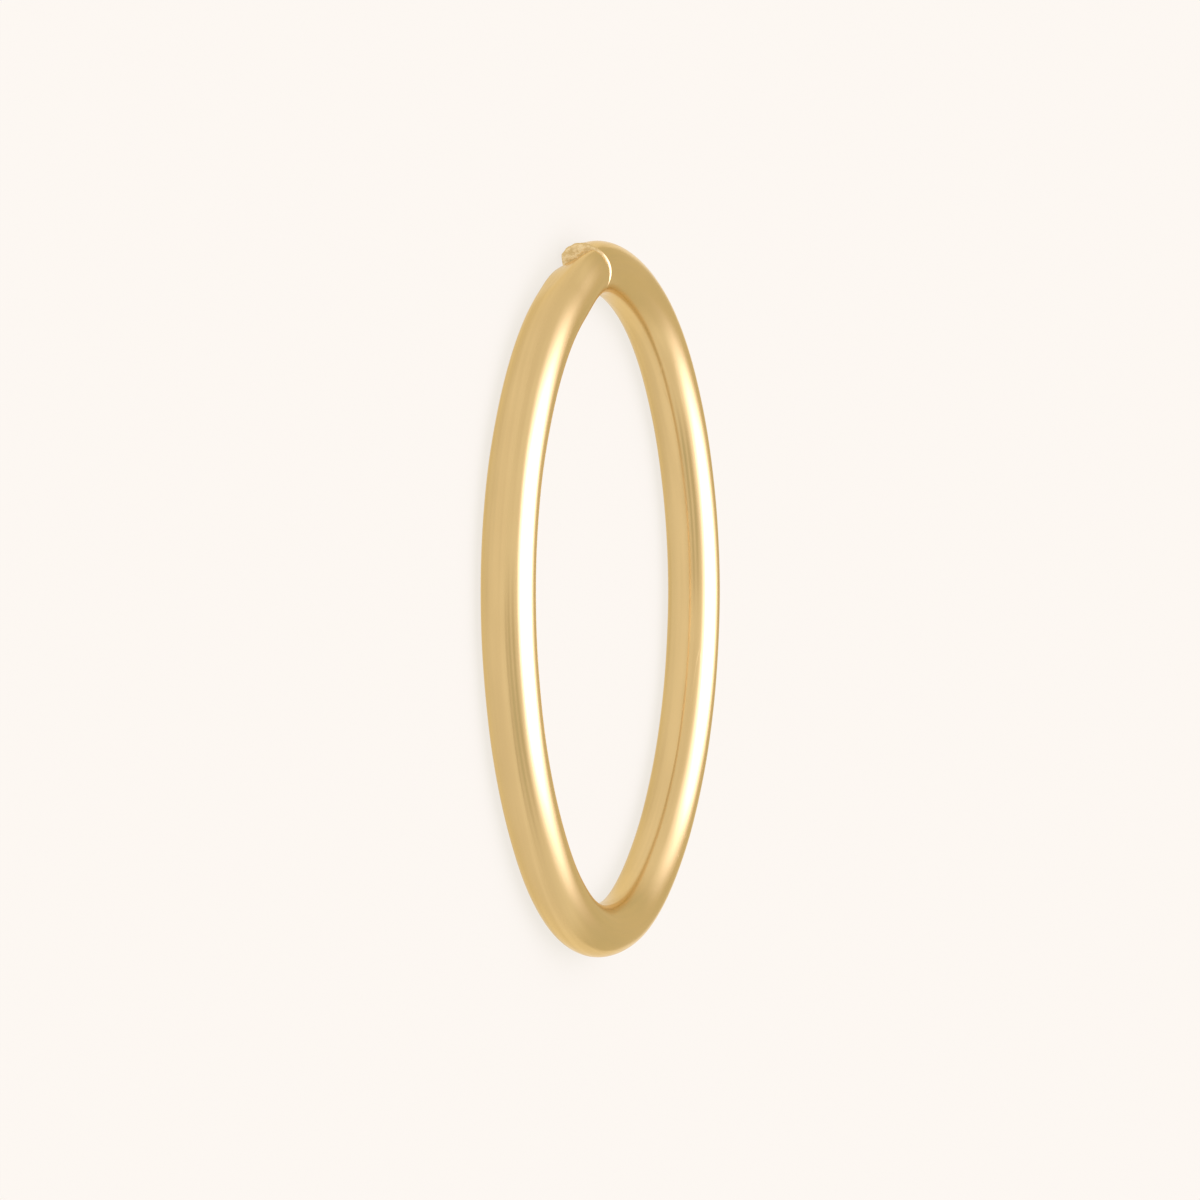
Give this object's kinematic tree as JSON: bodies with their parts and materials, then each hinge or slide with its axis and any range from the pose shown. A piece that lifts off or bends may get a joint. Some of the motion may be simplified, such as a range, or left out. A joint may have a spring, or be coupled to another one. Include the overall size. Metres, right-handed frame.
{
  "type": "seamless hoop",
  "caption": "Plain polished gold hoop for a piercing: one round wire bent into a ring, its rounded ends butting at a seam that is twisted open to put it in.",
  "frame": {"origin": "on the surface that the hoop lies on, below the middle of its ring", "axes": "+Z along the hoop's axis, -X towards the seam where the wire's ends meet"},
  "size_m": [0.0108, 0.0106, 0.0008],
  "materials": {
    "gold": "polished yellow gold"
  },
  "bodies": {
    "root": {"hoop": "gold"}
  },
  "joints": []
}
